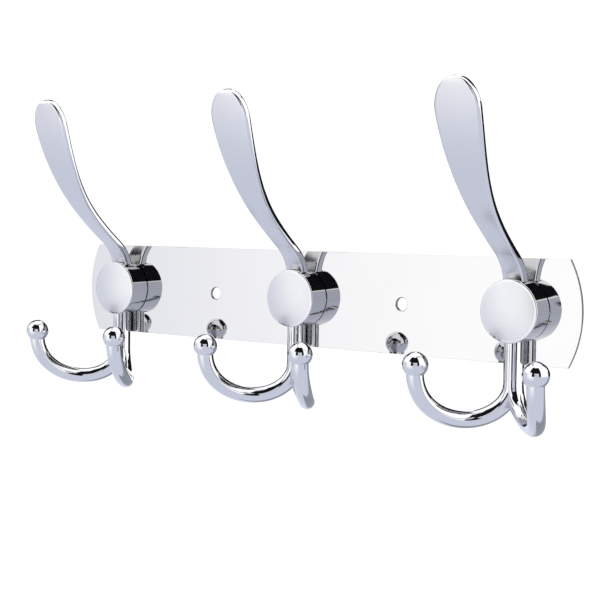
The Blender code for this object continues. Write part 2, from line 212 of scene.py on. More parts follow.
def follow(first, sections):
    """Draws the selected round face through (centre, direction, half width, half depth)
    sections: each is extruded, turned and stretched from the one before."""
    centre, ahead, half_width, half_depth, side = first
    for next_centre, next_ahead, next_width, next_depth in sections:
        draw_out(next_centre - centre)
        turn = ahead.rotation_difference(next_ahead)
        turn_about(next_centre, turn)
        side = turn @ side
        stretch = (next_width / half_width, next_depth / half_depth, 1)
        bpy.ops.transform.resize(value=stretch, orient_type="GLOBAL",
                                 orient_matrix=axes_matrix(side, next_ahead),
                                 orient_matrix_type="GLOBAL", center_override=next_centre)
        centre, ahead, half_width, half_depth = next_centre, next_ahead, next_width, next_depth


def turn_about(centre, turn):
    """Turns the selection as three turns about the world's axes, each entered with its
    sign changed, which is what the operator needs when there is no window."""
    for axis, angle in zip("XYZ", turn.to_euler("XYZ")):
        if abs(angle) > NEAR:
            bpy.ops.transform.rotate(value=-angle, orient_axis=axis, center_override=centre)


def axes_matrix(first, third):
    """Three columns: the first axis, the one square to both, and the third axis."""
    return Matrix((first, third.cross(first), third)).transposed()


# ------------------------------------------------------------ sizes and colours

def length(label, note, default):
    return bpy.props.FloatProperty(name=label, description=note, default=default,
                                   min=0.0, unit="LENGTH", precision=5)


def tint(label, note, default):
    return bpy.props.FloatVectorProperty(name=label, description=note, default=default,
                                         subtype="COLOR", size=3, min=0.0, max=1.0)


def factor(label, note, default, most=1.0):
    return bpy.props.FloatProperty(name=label, description=note, default=default,
                                   min=0.0, max=most)


class PlateSettings(bpy.types.PropertyGroup):
    end_rise: length("End rise", "How far each bowed end stands out past its corners", 5.1 * MM)
    hole_spacing: length("Hole spacing", "Between the centres of the wall holes", 96.2 * MM)
    hole_diameter: length("Hole diameter", "Of the wall holes", 5.2 * MM)
    edge_radius: length("Edge radius", "Rounding of the sheet's edges", 0.35 * MM)
    colour: tint("Colour", "Reflection colour of the polished steel", (0.592, 0.59, 0.587))


class CoverSettings(bpy.types.PropertyGroup):
    dome: length("Dome", "How far the face stands proud of its rim", 1.0 * MM)
    rim_radius: length("Rim radius", "Rounding between the face and the side", 0.5 * MM)
    side_wall: length("Side wall", "Thickness of the cup's side", 1.8 * MM)
    front_wall: length("Front wall", "Thickness of the cup's face at its rim", 1.2 * MM)


class ArmSettings(bpy.types.PropertyGroup):
    length: length("Length", "Along the strap's middle line", 86.4 * MM)
    root_width: length("Root width", "Where the strap leaves the hub", 8.7 * MM)
    neck_width: length("Neck width", "At its narrowest", 8.0 * MM)
    blade_width: length("Blade width", "At its widest", 17.8 * MM)
    tip_length: length("Tip length", "Length of the rounded end", 11.5 * MM)
    root_thickness: length("Root thickness", "Where the strap leaves the hub", 4.6 * MM)
    blade_thickness: length("Blade thickness", "From the neck to the tip", 3.3 * MM)


class ProngSettings(bpy.types.PropertyGroup):
    rod_radius: length("Rod radius", "Of each round rod", 3.2 * MM)
    ball_radius: length("Ball radius", "Of the ball at each end", 4.8 * MM)
    stem_half_depth: length("Stem half depth", "Half the stem's depth, front to back", 3.8 * MM)
    collar_radius: length("Collar radius", "Fillet between a rod and its ball", 0.35 * MM)


class FinishSettings(bpy.types.PropertyGroup):
    chrome: tint("Chrome", "Reflection colour of the chrome plating", (0.585, 0.59, 0.60))
    chrome_shade: tint("Chrome shade", "Colour of the thinner plating", (0.565, 0.57, 0.585))
    zinc: tint("Zinc", "Colour of the zinc plated screws", (0.62, 0.64, 0.67))
    roughness: factor("Roughness", "Of clean chrome", 0.025)
    dome_satin: factor("Dome satin", "Extra roughness of the covers' domed faces", 0.27)
    arm_satin: factor("Arm satin", "Extra roughness of the arms' broad faces", 0.22)


# ------------------------------------------------------------ procedural finishes

class Value:
    """A number or colour in a shader. Numbers take part in Python arithmetic."""

    def __init__(self, maker, socket):
        self.maker = maker
        self.socket = socket

    def math(self, operation, *values):
        return self.maker.node("ShaderNodeMath", {"operation": operation},
                               dict(enumerate(values)))

    def __add__(self, other):
        return self.math("ADD", self, other)

    __radd__ = __add__

    def __sub__(self, other):
        return self.math("SUBTRACT", self, other)

    def __rsub__(self, other):
        return self.math("SUBTRACT", other, self)

    def __mul__(self, other):
        return self.math("MULTIPLY", self, other)

    __rmul__ = __mul__

    def above(self, edge, width):
        """0 below the edge, 1 above it, with a soft step between."""
        return self.maker.node("ShaderNodeMapRange", {"interpolation_type": "SMOOTHSTEP"},
                               {"Value": self, "From Min": edge - width,
                                "From Max": edge + width})

    def within(self, low, high, width):
        """1 between two edges, 0 outside them, with soft steps."""
        return self.above(low, width) * (1 - self.above(high, width))


class Shading:
    """A node tree that is built with short calls."""

    def __init__(self, tree):
        self.tree = tree

    def node(self, kind, settings, inputs, output=0):
        made = self.tree.nodes.new(kind)
        for name, value in settings.items():
            setattr(made, name, value)
        for key, value in inputs.items():
            self.feed(made.inputs[key], value)
        return Value(self, made.outputs[output])

    def feed(self, socket, value):
        if isinstance(value, Value):
            self.tree.links.new(value.socket, socket)
        else:
            socket.default_value = value

    def between(self, share, first, second):
        """A colour from the first, at 0, to the second, at 1. Either may be a plain colour."""
        first, second = (colour if isinstance(colour, Value) else (*colour, 1.0)
                         for colour in (first, second))
        return self.node("ShaderNodeMix", {"data_type": "RGBA"},
                         {0: share, 6: first, 7: second}, 2)

    def along(self, axis, vector):
        """The X, Y or Z of a vector."""
        return self.node("ShaderNodeSeparateXYZ", {}, {"Vector": vector}, "XYZ".index(axis))


class Finish(Shading):
    """One material and the nodes that are added to it."""

    def __init__(self, name):
        self.material = bpy.data.materials.new(name)
        self.material.use_nodes = True
        super().__init__(self.material.node_tree)
        self.shader = self.tree.nodes["Principled BSDF"]
        self.place = self.node("ShaderNodeTexCoord", {}, {}, "Object")

    def set(self, **inputs):
        for name, value in inputs.items():
            self.feed(self.shader.inputs[name.replace("_", " ")], value)

    def stretched(self, scale):
        return self.node("ShaderNodeMapping", {}, {"Vector": self.place, "Scale": scale})

    def noise(self, scale, detail=2.0, vector=None, roughness=0.5):
        return self.node("ShaderNodeTexNoise", {"noise_dimensions": "3D"},
                         {"Vector": vector or self.place, "Scale": scale, "Detail": detail,
                          "Roughness": roughness})

    def bump(self, height, distance):
        return self.node("ShaderNodeBump", {}, {"Height": height, "Distance": distance,
                                                "Strength": 1.0})


def chrome_finish(name, settings, brushed=None):
    """Bright chrome: a faint drift in the plating's colour, dull smudges where hands go,
    hairline scratches, and the slight ripple of a polished casting. The brushed function
    gives how much extra roughness each point has."""
    finish = Finish(name)
    soft = brushed(finish) if brushed else 0.0
    smudge_dulls, hairline_dulls = 0.02, 0.03
    drift = finish.noise(scale=55.0, detail=3.0)
    smudge = finish.noise(scale=130.0, detail=4.0, roughness=0.6).above(edge=0.60, width=0.10)
    scratches = finish.stretched((5200.0, 900.0, 700.0))
    hairline = finish.noise(scale=1.0, detail=3.0, vector=scratches).above(edge=0.70, width=0.05)
    ripple = finish.noise(scale=170.0, detail=1.0)
    finish.set(
        Base_Color=finish.between(drift, tuple(settings.chrome), tuple(settings.chrome_shade)),
        Metallic=1.0,
        Roughness=settings.roughness + smudge * smudge_dulls + hairline * hairline_dulls + soft,
        Normal=finish.bump(ripple, distance=0.004 * MM),
    )
    return finish.material


def steel_finish(name, colour):
    """Mirror polished sheet steel with faint polishing lines along its length, and
    dull dark edges where the sheet was sheared and pierced."""
    finish = Finish(name)
    clean, lines_dull, cloud_dulls, edge_dulls = 0.02, 0.035, 0.01, 0.3
    skin = 0.05 * MM
    lines = finish.noise(scale=1.0, detail=4.0, vector=finish.stretched((45.0, 45.0, 4200.0)))
    cloud = finish.noise(scale=38.0, detail=3.0)
    darker = tuple(0.965 * part for part in colour)
    sheared = tuple(0.42 * part for part in colour)
    edge = finish.along("Y", finish.place).within(PLATE_FRONT + skin, -skin, 0.03 * MM)
    finish.set(
        Base_Color=finish.between(edge, finish.between(cloud, colour, darker), sheared),
        Metallic=1.0,
        Roughness=(clean + lines.above(edge=0.62, width=0.16) * lines_dull
                   + cloud * cloud_dulls + edge * edge_dulls),
        Normal=finish.bump(lines, distance=0.0004 * MM),
    )
    return finish.material


def zinc_finish(name, colour):
    """Zinc plated steel, duller and mottled, with fine turning marks."""
    finish = Finish(name)
    clean, mottle_dulls = 0.22, 0.16
    mottle = finish.noise(scale=900.0, detail=5.0)
    marks = finish.noise(scale=1.0, detail=2.0,
                         vector=finish.stretched((1500.0, 6000.0, 1500.0)))
    shade = tuple(0.78 * part for part in colour)
    finish.set(
        Base_Color=finish.between(mottle, colour, shade),
        Metallic=1.0,
        Roughness=clean + mottle * mottle_dulls,
        Normal=finish.bump(marks, distance=0.01 * MM),
    )
    return finish.material


# ------------------------------------------------------------ shared by the pieces

def hand_over(piece, name, node, material):
    """Names a finished piece, gives it its finish and stands it in for its CAD node."""
    piece.name = name
    piece.data.name = name
    piece.data.materials.clear()
    piece.data.materials.append(material)
    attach(piece, "root")
    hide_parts(node)
    return piece


def at_each_hub(model, kind, node, material):
    """Copies a hook's piece to the three hubs, each copy with its own mesh."""
    for side in SIDES:
        select_only(model)
        bpy.ops.object.duplicate()
        piece = bpy.context.object
        piece.location = (HUB_X[side], PLATE_FRONT, HUB_HEIGHT)
        settle(piece)
        hand_over(piece, f"{kind}_{side}_fine", f"{node}_{side}", material)
    bpy.data.objects.remove(model, do_unlink=True)


def eased(share):
    share = min(max(share, 0.0), 1.0)
    return share * share * (3 - 2 * share)


# ------------------------------------------------------------ worked-out places

SCREW_RADIUS = 2.0 * MM
SCREW_HEAD_RADIUS = (SCREW_HIGH.x - SCREW_LOW.x) / 2
PLATE_THICKNESS = -PLATE_FRONT
PEG_RADIUS = 0.7 * MM
COVER_TOP_DEPTH = PLATE_FRONT - COVER_LOW.y
SCREW_TIP_DEPTH = PLATE_FRONT - SCREW_LOW.y
TONGUE_THICKNESS = 2.2 * MM
TONGUE_RADIUS = 7.0 * MM
TONGUE_BAR_WIDTH = 6.6 * MM
TONGUE_BORE_RADIUS = 2.5 * MM
PRONG_TONGUE = (GAP, GAP + TONGUE_THICKNESS)
ARM_TONGUE = (PRONG_TONGUE[1] + GAP, PRONG_TONGUE[1] + GAP + TONGUE_THICKNESS)
ARM_ROOT_FRONT = 6.8 * MM
ARM_ROOT_RISE = 10.6 * MM
STEM_HALF_WIDTH = 3.2 * MM
STEM_SPREAD = 0.45 * MM
STEM_FRONT = 8.3 * MM
PEG_OFFSET = COVER_RADIUS - PEG_RADIUS - GAP


def tongue(depths, reach):
    """The flat disc round the screw with its bar out to the hook."""
    near, far = depths
    half = TONGUE_BAR_WIDTH / 2
    disc = turned([(0, near), (TONGUE_RADIUS, near), (TONGUE_RADIUS, far), (0, far)],
                  ROUND_STEPS)
    bar = box((-half, -far, min(0.0, reach)), (half, -near, max(0.0, reach)))
    return disc, bar


def tongue_bore(depths):
    near, far = depths[0] - MM, depths[1] + MM
    return turned([(0, near), (TONGUE_BORE_RADIUS, near), (TONGUE_BORE_RADIUS, far), (0, far)],
                  BORE_STEPS)


# ------------------------------------------------------------ pieces

class HOOKRACK_OT_plate(bpy.types.Operator):
    """Models the polished plate with its bowed ends, wall holes, screw seats and peg holes"""

    bl_idname = "hookrack.plate"
    bl_label = "Plate"

    BOW_STEPS = 360
    CORNER_MERGE = 0.05 * MM
    HOLE_BEVEL = 0.25 * MM

    def execute(self, context):
        settings = context.scene.hook_rack_plate
        plate = self.outline(settings)
        edit(plate, "FACE")
        bpy.ops.mesh.select_all(action="SELECT")
        draw_out((0, PLATE_THICKNESS, 0))
        leave_edit()
        outward(plate)
        edit(plate, "FACE")
        pick("faces", lambda f: abs(f.normal.y) > 0.99)
        bpy.ops.mesh.region_to_loop()
        bpy.ops.mesh.bevel(offset=settings.edge_radius, segments=3, profile=0.5,
                           affect="EDGES", clamp_overlap=True)
        leave_edit()
        combine(plate, self.cutters(settings), "DIFFERENCE")
        outward(plate)
        edit(plate)
        bpy.ops.mesh.select_all(action="SELECT")
        bpy.ops.mesh.fill_holes(sides=4)
        leave_edit()
        shade(plate, 20)
        edit(plate, "FACE")
        pick("faces", lambda f: abs(f.normal.y) > 0.9999)
        bpy.ops.mesh.faces_shade_flat()
        leave_edit()
        finish = steel_finish("plate_steel_fine", tuple(settings.colour))
        hand_over(plate, "plate_fine", "back_plate", finish)
        return {"FINISHED"}

    def outline(self, settings):
        """The sheet's flat shape: a rectangle with the cap of a large circle at each end."""
        half_height = (PLATE_HIGH.z - PLATE_LOW.z) / 2
        bow = (half_height ** 2 + settings.end_rise ** 2) / (2 * settings.end_rise)
        corner_x = PLATE_HIGH.x - settings.end_rise
        select_only()
        bpy.ops.mesh.primitive_plane_add(size=2, location=(0, PLATE_FRONT, 0),
                                         rotation=(math.pi / 2, 0, 0))
        sheet = bpy.context.object
        sheet.scale = (corner_x, half_height, 1)
        settle(sheet)
        caps = []
        for turn in (1, -1):
            cap = disc_ring(bow, self.BOW_STEPS, PLATE_FRONT)
            leave_edit()
            cap.location.x = turn * (PLATE_HIGH.x - bow)
            settle(cap)
            edit(cap)
            bpy.ops.mesh.select_all(action="SELECT")
            bpy.ops.mesh.bisect(plane_co=(turn * corner_x, 0, 0), plane_no=(-turn, 0, 0),
                                clear_outer=True, threshold=NEAR)
            leave_edit()
            caps.append(cap)
        select_only(sheet, *caps)
        bpy.ops.object.join()
        edit(sheet, "FACE")
        bpy.ops.mesh.select_all(action="SELECT")
        bpy.ops.mesh.remove_doubles(threshold=self.CORNER_MERGE)
        bpy.ops.mesh.dissolve_limited(angle_limit=math.radians(0.05))
        leave_edit()
        return sheet

    def cutters(self, settings):
        far = PLATE_THICKNESS + MM
        hole = settings.hole_diameter / 2
        seat_back = SCREW_HEAD_RADIUS + GAP * math.sqrt(2)
        seat_end = seat_back - SCREW_RADIUS
        tools = []
        bevel = self.HOLE_BEVEL
        for turn in (1, -1):
            tool = turned([(0, -far), (hole, -far), (hole, -bevel), (hole + 2 * bevel, bevel),
                           (0, bevel)], ROUND_STEPS)
            tool.location = (turn * settings.hole_spacing / 2, PLATE_FRONT, 0)
            tools.append(settle(tool))
        for x in HUB_X.values():
            seat = turned([(0, -far), (seat_back + MM, -far),
                           (SCREW_RADIUS, seat_end - PLATE_THICKNESS),
                           (0, seat_end - PLATE_THICKNESS)], ROUND_STEPS)
            seat.location = (x, PLATE_FRONT, HUB_HEIGHT)
            tools.append(settle(seat))
            for turn in (1, -1):
                peg = turned([(0, -far), (PEG_RADIUS + GAP, -far), (PEG_RADIUS + GAP, MM),
                              (0, MM)], PEG_STEPS)
                peg.location = (x + turn * PEG_OFFSET, PLATE_FRONT, HUB_HEIGHT)
                tools.append(settle(peg))
        return tools


class HOOKRACK_OT_covers(bpy.types.Operator):
    """Models one domed hub cover with its boss, notches and pegs, and copies it to each hub"""

    bl_idname = "hookrack.covers"
    bl_label = "Hub covers"

    COVER_STEPS = 128
    RIM_STEPS = 8
    DOME_STEPS = 14
    BOSS_RADIUS = 4.2 * MM
    CHAMFER = 0.15 * MM

    def execute(self, context):
        settings = context.scene.hook_rack_covers
        cover = turned(self.profile(settings), self.COVER_STEPS)
        inner = COVER_RADIUS - settings.side_wall - 2 * MM
        outer = COVER_RADIUS + 2 * MM
        arm_half = context.scene.hook_rack_arms.root_width / 2 + GAP
        stem_half = STEM_HALF_WIDTH + STEM_SPREAD + GAP
        notches = [
            box((-arm_half, -(ARM_ROOT_FRONT + 2 * GAP), inner), (arm_half, MM, outer)),
            box((-stem_half, -(STEM_FRONT + GAP), -outer), (stem_half, MM, -inner)),
        ]
        combine(cover, notches, "DIFFERENCE")
        pegs = []
        end = GAP - PLATE_THICKNESS
        for turn in (1, -1):
            peg = turned([(0, end), (PEG_RADIUS - self.CHAMFER, end),
                          (PEG_RADIUS, end + self.CHAMFER), (PEG_RADIUS, MM), (0, MM)],
                         PEG_STEPS)
            peg.location = (turn * PEG_OFFSET, 0, 0)
            pegs.append(settle(peg))
        combine(cover, pegs, "UNION")
        shade(cover)
        looks = context.scene.hook_rack_finish
        face_start = 0.06 * MM - COVER_LOW.y - settings.dome
        finish = chrome_finish(
            "cover_chrome_fine", looks,
            lambda made: (0 - made.along("Y", made.place)).above(face_start, 0.04 * MM)
            * looks.dome_satin)
        at_each_hub(cover, "hub_cover", "hub_cover", finish)
        return {"FINISHED"}

    def profile(self, settings):
        rim = settings.rim_radius
        edge = COVER_RADIUS - rim
        depth = COVER_TOP_DEPTH - settings.dome
        dome_radius = (edge ** 2 + settings.dome ** 2) / (2 * settings.dome)
        dome_angle = math.asin(edge / dome_radius)
        inside = COVER_RADIUS - settings.side_wall
        ceiling = depth - settings.front_wall
        bore_end = COVER_TOP_DEPTH - settings.front_wall
        bore = SCREW_RADIUS + GAP
        mouth = ARM_TONGUE[1] + GAP
        points = [(0, bore_end), (bore, bore_end), (bore, mouth), (self.BOSS_RADIUS, mouth),
                  (self.BOSS_RADIUS, ceiling), (inside, ceiling), (inside, GAP),
                  (COVER_RADIUS - self.CHAMFER, GAP), (COVER_RADIUS, GAP + self.CHAMFER)]
        for step in range(self.RIM_STEPS + 1):
            turn = math.pi / 2 * step / self.RIM_STEPS
            points.append((edge + rim * math.cos(turn), depth - rim + rim * math.sin(turn)))
        for step in range(self.DOME_STEPS - 1, -1, -1):
            turn = dome_angle * step / self.DOME_STEPS
            points.append((dome_radius * math.sin(turn),
                           COVER_TOP_DEPTH - dome_radius * (1 - math.cos(turn))))
        return points


class HOOKRACK_OT_arms(bpy.types.Operator):
    """Models one upper arm as a curved strap with a rounded blade, and copies it to each hub"""

    bl_idname = "hookrack.arms"
    bl_label = "Upper arms"

    HEADINGS = ((0.0, 78.6), (0.127, 36.2), (0.347, 42.3), (0.648, 63.5), (1.0, 79.8))
    NECK_SHARE = 0.16
    STEPS = 84
    TIP_STEPS = 26
    FINE_STEPS = 2000
    AVERAGED = 12
    AVERAGE_REACH = 0.07
    ROOT_SINK = 1.5 * MM
    SQUARENESS = 4.0
    CORNER = 0.72 * MM
    CORNER_STEPS = 9

    def execute(self, context):
        settings = context.scene.hook_rack_arms
        strap = self.strap(settings)
        outward(strap)
        inside = COVER_RADIUS - context.scene.hook_rack_covers.side_wall
        half = settings.root_width / 2
        root_top = math.sqrt(COVER_RADIUS ** 2 - half ** 2)
        root = box((-half, -ARM_ROOT_FRONT, inside - MM), (half, -GAP, root_top))
        disc, bar = tongue(ARM_TONGUE, inside)
        arm = combine(strap, [root, disc, bar], "UNION")
        combine(arm, [tongue_bore(ARM_TONGUE)], "DIFFERENCE")
        shade(arm, 40)
        looks = context.scene.hook_rack_finish
        finish = chrome_finish("arm_chrome_fine", looks,
                               lambda made: self.broad(made) * looks.arm_satin)
        at_each_hub(arm, "upper_arm", "upper_arm", finish)
        return {"FINISHED"}

    def broad(self, finish):
        """1 on the strap's broad faces, 0 on its rounded edges."""
        facing = finish.node("ShaderNodeTexCoord", {}, {}, "Normal")
        across = finish.along("X", facing)
        return 1 - across.math("ABSOLUTE", across).above(edge=0.3, width=0.15)

    def heading(self, share):
        """The strap's angle from straight forward: straight lines between HEADINGS,
        averaged over a short way to each side so that no bend starts suddenly."""
        reach = min(self.AVERAGE_REACH, share, 1 - share)
        total = 0.0
        for number in range(self.AVERAGED):
            total += self.table_heading(share + reach * (2 * (number + 0.5) / self.AVERAGED - 1))
        return total / self.AVERAGED

    def table_heading(self, share):
        for (low, first), (high, second) in zip(self.HEADINGS, self.HEADINGS[1:]):
            if share <= high:
                return first + (second - first) * (share - low) / (high - low)
        return self.HEADINGS[-1][1]

    def width(self, share, settings):
        """Narrowest just above the hub, widest where the rounded end begins."""
        neck, shoulder = self.NECK_SHARE, 1 - settings.tip_length / settings.length
        if share < neck:
            narrowing = settings.neck_width - settings.root_width
            return settings.root_width + narrowing * eased(share / neck)
        swell = min((share - neck) / (shoulder - neck), 1.0)
        flare = 0.3 * swell + 0.7 * eased(swell) ** 1.5
        width = settings.neck_width + (settings.blade_width - settings.neck_width) * flare
        past = max((share - shoulder) / (1 - shoulder), 0.0)
        return width * math.sqrt(max(1 - past ** 2, 0.0))

    def thickness(self, share, settings):
        """Thins from the root to the neck, and rounds off over the last of the tip."""
        into_neck = min(share / self.NECK_SHARE, 1.0)
        thinning = settings.blade_thickness - settings.root_thickness
        full = settings.root_thickness + thinning * into_neck
        to_tip = min((1 - share) * settings.length / (0.6 * settings.blade_thickness), 1.0)
        return full * math.sqrt(1 - (1 - to_tip) ** 2)

    def sections(self, settings):
        tip_start = 1 - settings.tip_length / settings.length
        shares = [tip_start * step / self.STEPS for step in range(self.STEPS)]
        shares += [tip_start + (1 - tip_start) * math.sin(math.pi / 2 * step / self.TIP_STEPS)
                   for step in range(self.TIP_STEPS)]
        at = Vector((0.0, -(ARM_ROOT_FRONT - settings.root_thickness / 2), ARM_ROOT_RISE))
        made, wanted = [], 0
        for number in range(self.FINE_STEPS + 1):
            share = number / self.FINE_STEPS
            turn = math.radians(self.heading(share))
            ahead = Vector((0.0, -math.cos(turn), math.sin(turn)))
            while wanted < len(shares) and shares[wanted] <= share + TINY:
                made.append((at.copy(), ahead, self.width(share, settings) / 2,
                             self.thickness(share, settings) / 2))
                wanted += 1
            at = at + ahead * (settings.length / self.FINE_STEPS)
        return made

    def strap(self, settings):
        """A rounded strip, drawn along the strap's middle line."""
        sections = self.sections(settings)
        centre, ahead, half_width, half_depth = sections[0]
        sunk = centre - Vector((0, 0, self.ROOT_SINK))
        select_only()
        bpy.ops.mesh.primitive_plane_add(size=2 * MM)
        piece = bpy.context.object
        piece.scale = (self.SQUARENESS, 1, 1)
        settle(piece)
        edit(piece)
        bpy.ops.mesh.select_all(action="SELECT")
        bpy.ops.mesh.bevel(offset=self.CORNER, segments=self.CORNER_STEPS, profile=0.5,
                           affect="VERTICES")
        bpy.ops.mesh.select_all(action="SELECT")
        bpy.ops.transform.resize(
            value=(half_width / (self.SQUARENESS * MM), half_depth / MM, 1),
            center_override=(0, 0, 0))
        bpy.ops.transform.translate(value=sunk)
        up = Vector((0, 0, 1))
        first = (sunk, up, half_width, half_depth, Vector((1, 0, 0)))
        follow(first, sections)
        leave_edit()
        return piece


class HOOKRACK_OT_prongs(bpy.types.Operator):
    """Models one double prong with its stem and balls, and copies it to each hub"""

    bl_idname = "hookrack.prongs"
    bl_label = "Double prongs"

    STEM_END_DROP = 26.9 * MM
    LOWEST_DROP = 40.1 * MM
    RISE_DROP = 22.3 * MM
    LOWEST_SHARE = 0.44
    BALL_DROP = 19.3 * MM
    BALL_SIDE = 24.2 * MM
    BALL_DEPTH = 33.4 * MM
    SWING_SIDE = 17.1 * MM
    SWING_FORWARD = 9.9 * MM
    STEPS = 44
    STEM_STEPS = 8
    COLLAR_STEPS = 7
    BALL_STEPS = 28
    TOP_RADIUS = 0.0005 * MM

    def execute(self, context):
        settings = context.scene.hook_rack_prongs
        inside = COVER_RADIUS - context.scene.hook_rack_covers.side_wall
        rod = self.rod(settings, inside)
        outward(rod)
        edit(rod)
        bpy.ops.mesh.select_all(action="SELECT")
        bpy.ops.mesh.bisect(plane_co=(0, 0, 0), plane_no=(1, 0, 0), clear_inner=True,
                            threshold=NEAR)
        leave_edit()
        mirror = rod.modifiers.new("Mirror", "MIRROR")
        mirror.use_axis = (True, False, False)
        mirror.use_mirror_merge = True
        mirror.merge_threshold = MERGE
        apply_modifiers(rod)
        outward(rod)
        disc, bar = tongue(PRONG_TONGUE, -inside)
        prong = combine(rod, [disc, bar], "UNION")
        combine(prong, [tongue_bore(PRONG_TONGUE)], "DIFFERENCE")
        shade(prong, 40)
        finish = chrome_finish("prong_chrome_fine", context.scene.hook_rack_finish)
        at_each_hub(prong, "double_prong", "double_prong", finish)
        return {"FINISHED"}

    def in_plan(self, share, stem_depth):
        """Where a rod is seen from above, at a share of the way out to its ball."""
        swing, out = 2 * share * (1 - share), share * share
        side = swing * self.SWING_SIDE + out * self.BALL_SIDE + (1 - share) * STEM_SPREAD
        forward = swing * self.SWING_FORWARD + out * (self.BALL_DEPTH - stem_depth)
        return side, -(stem_depth + forward)

    def path(self, stem_depth, inside):
        """Points down the stem, round the bend and up, with how much of the stem's
        section each keeps."""
        start = inside - MM
        fall = (self.STEM_END_DROP - start) / self.STEM_STEPS
        points = [(Vector((STEM_SPREAD, -stem_depth, -(start + fall * step))), 1.0)
                  for step in range(self.STEM_STEPS)]
        for step in range(self.STEPS):
            turn = math.pi / 2 * step / self.STEPS
            share = self.LOWEST_SHARE * (1 - math.cos(turn))
            drop = self.STEM_END_DROP + (self.LOWEST_DROP - self.STEM_END_DROP) * math.sin(turn)
            points.append((Vector((*self.in_plan(share, stem_depth), -drop)),
                           1 - eased(step / self.STEPS)))
        for step in range(self.STEPS + 1):
            turn = math.pi / 2 * step / self.STEPS
            share = self.LOWEST_SHARE + (1 - self.LOWEST_SHARE) * math.sin(turn)
            drop = self.RISE_DROP + (self.LOWEST_DROP - self.RISE_DROP) * math.cos(turn)
            points.append((Vector((*self.in_plan(share, stem_depth), -drop)), 0.0))
        return points

    def rod(self, settings, inside):
        """One rod with its ball, from inside the hub to the ball's top."""
        stem_depth = STEM_FRONT - settings.stem_half_depth
        path = self.path(stem_depth, inside)
        points = [point for point, _ in path]
        sections = []
        for number, (point, in_stem) in enumerate(path):
            after = points[min(number + 1, len(points) - 1)]
            before = points[max(number - 1, 0)]
            ahead = (after - before).normalized()
            if number == len(path) - 1:
                ahead = Vector((0, 0, 1))
            radius = settings.rod_radius
            sections.append((point, ahead, radius + (STEM_HALF_WIDTH - radius) * in_stem,
                             radius + (settings.stem_half_depth - radius) * in_stem))
        sections += self.ball(settings)
        start, _, half_width, half_depth = sections[0]
        select_only()
        bpy.ops.mesh.primitive_circle_add(vertices=BORE_STEPS, radius=half_width,
                                          fill_type="NGON", location=start)
        piece = settle(bpy.context.object)
        edit(piece)
        bpy.ops.mesh.select_all(action="SELECT")
        down = Vector((0, 0, -1))
        bpy.ops.transform.resize(value=(1, half_depth / half_width, 1), center_override=start)
        follow((start, down, half_width, half_depth, Vector((1, 0, 0))), sections[1:])
        bpy.ops.mesh.merge(type="CENTER")
        leave_edit()
        return piece

    def ball(self, settings):
        """Rings up a small fillet and over the ball."""
        up = Vector((0, 0, 1))
        ball, rod, fillet = settings.ball_radius, settings.rod_radius, settings.collar_radius
        made = []
        centre_low = math.sqrt((ball + fillet) ** 2 - (rod + fillet) ** 2)
        join = math.atan2(rod + fillet, centre_low)
        base = -self.BALL_DROP
        for step in range(1, self.COLLAR_STEPS):
            turn = (math.pi / 2 - join) * step / self.COLLAR_STEPS
            radius = rod + fillet * (1 - math.cos(turn))
            height = base - centre_low + fillet * math.sin(turn)
            made.append((Vector((self.BALL_SIDE, -self.BALL_DEPTH, height)), up, radius, radius))
        for step in range(self.BALL_STEPS):
            turn = join + (math.pi - join) * step / self.BALL_STEPS
            radius = ball * math.sin(turn)
            height = base - ball * math.cos(turn)
            made.append((Vector((self.BALL_SIDE, -self.BALL_DEPTH, height)), up, radius, radius))
        made.append((Vector((self.BALL_SIDE, -self.BALL_DEPTH, base + ball)), up,
                     self.TOP_RADIUS, self.TOP_RADIUS))
        return made


class HOOKRACK_OT_screws(bpy.types.Operator):
    """Models one countersunk screw with its cross recess, and copies it to each hub"""

    bl_idname = "hookrack.screws"
    bl_label = "Hub screws"

    LAND = 0.12 * MM
    POINT = 0.5 * MM
    RECESS_LONG = 2.0 * MM
    RECESS_SHORT = 0.45 * MM
    RECESS_DEEP = 1.1 * MM
    RECESS_TAPER = 0.7

    def execute(self, context):
        back = -PLATE_THICKNESS
        head, shank = SCREW_HEAD_RADIUS, SCREW_RADIUS
        land, point = self.LAND, self.POINT
        seat = head - shank + back
        screw = turned([(0, back), (head - land, back), (head, back + land),
                        (head, back + 2 * land), (shank, seat + 2 * land),
                        (shank, SCREW_TIP_DEPTH - point), (shank - point, SCREW_TIP_DEPTH),
                        (0, SCREW_TIP_DEPTH)], ROUND_STEPS)
        long, short, deep = self.RECESS_LONG, self.RECESS_SHORT, self.RECESS_DEEP
        tools = []
        for turn in (0, 1):
            half_x, half_z = (long, short) if turn == 0 else (short, long)
            slot = box((-half_x, -back - deep, -half_z), (half_x, -back + MM, half_z))
            edit(slot, "FACE")
            pick("faces", lambda f: f.normal.y < -0.9)
            bpy.ops.transform.resize(value=(self.RECESS_TAPER, 1, self.RECESS_TAPER),
                                     center_override=(0, -back - deep, 0))
            leave_edit()
            tools.append(slot)
        combine(screw, tools, "DIFFERENCE")
        shade(screw, 30)
        finish = zinc_finish("screw_zinc_fine", tuple(context.scene.hook_rack_finish.zinc))
        at_each_hub(screw, "hub_screw", "hub_screw", finish)
        return {"FINISHED"}


# ------------------------------------------------------------ studio

CAMERA_PLACE = (0.3409, -0.4473, 0.0334)
CAMERA_YAW = 0.6553
CAMERA_PITCH = -0.0605
CAMERA_ROLL = 0.0132
CAMERA_LENS = 81.87
WHITE = (1.85, 1.85, 1.85)
GLOW = (1.68, 1.68, 1.69)
LILAC = (1.02, 1.05, 1.20)
TABLE = (0.95, 0.99, 1.16)
TABLE_BEHIND = (0.42, 0.44, 0.52)
OPENING = (0.93, 0.96, 1.10)
BLACK = (0.012, 0.012, 0.015)
HORIZON = -7.0
ROOM_EDGE = 1.0
